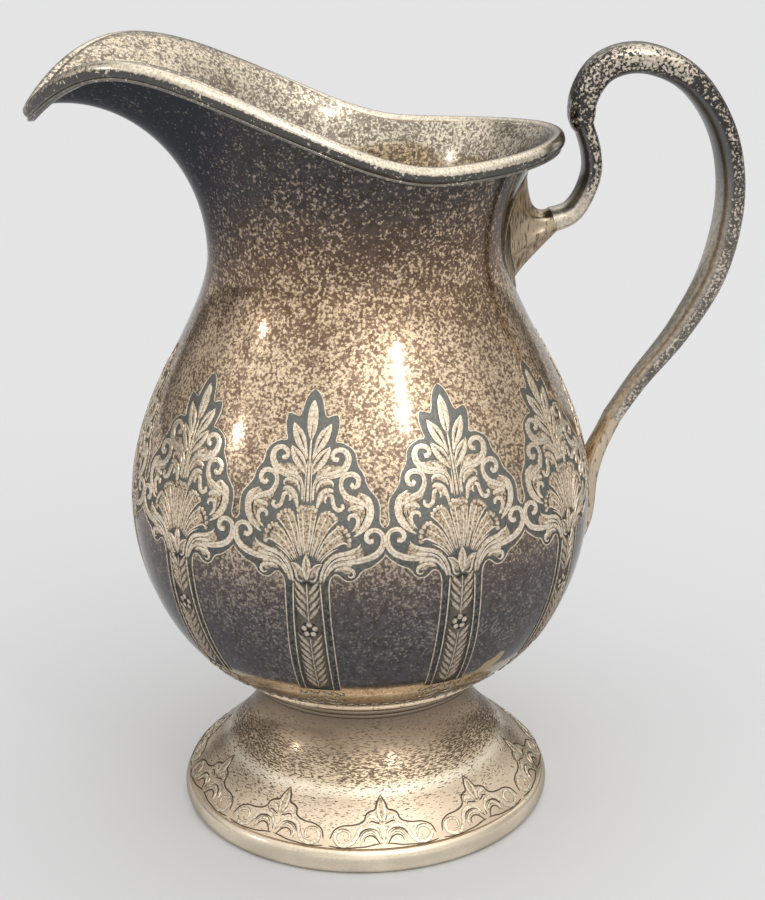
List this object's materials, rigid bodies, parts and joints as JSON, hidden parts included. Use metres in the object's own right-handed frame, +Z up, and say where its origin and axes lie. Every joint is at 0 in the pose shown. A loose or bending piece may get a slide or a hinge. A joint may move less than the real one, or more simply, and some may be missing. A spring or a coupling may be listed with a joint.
{
  "type": "creamer",
  "caption": "Pedestal creamer in worn silver plate: bellied body with etched palmettes, long drooping spout, wired rim, domed foot and an ear-shaped cast handle.",
  "frame": {"origin": "middle of the overall length and width, at the height of the surface that the foot stands on", "axes": "+Z is up, the spout points to -X and the handle to +X, and +Y is the far side when the spout is on the left; the vessel's own axis stands at x = -6.65 mm"},
  "size_m": [0.128, 0.0854, 0.1448],
  "materials": {
    "body_plate": "silver plate with speckled tarnish",
    "handle_plate": "silver plate with heavy mottled tarnish",
    "foot_plate": "bright silver plate with fine streaks of tarnish",
    "bright_plate": "rubbed silver plate, warm where it is thin"
  },
  "bodies": {
    "root": {"body_shell": "body_plate", "rim_wire": "handle_plate", "foot_collar": "bright_plate", "pedestal_foot": "foot_plate", "foot_wire": "foot_plate", "handle_loop": "handle_plate", "handle_branch": "handle_plate", "handle_socket": "handle_plate", "handle_heel": "bright_plate"}
  },
  "joints": []
}
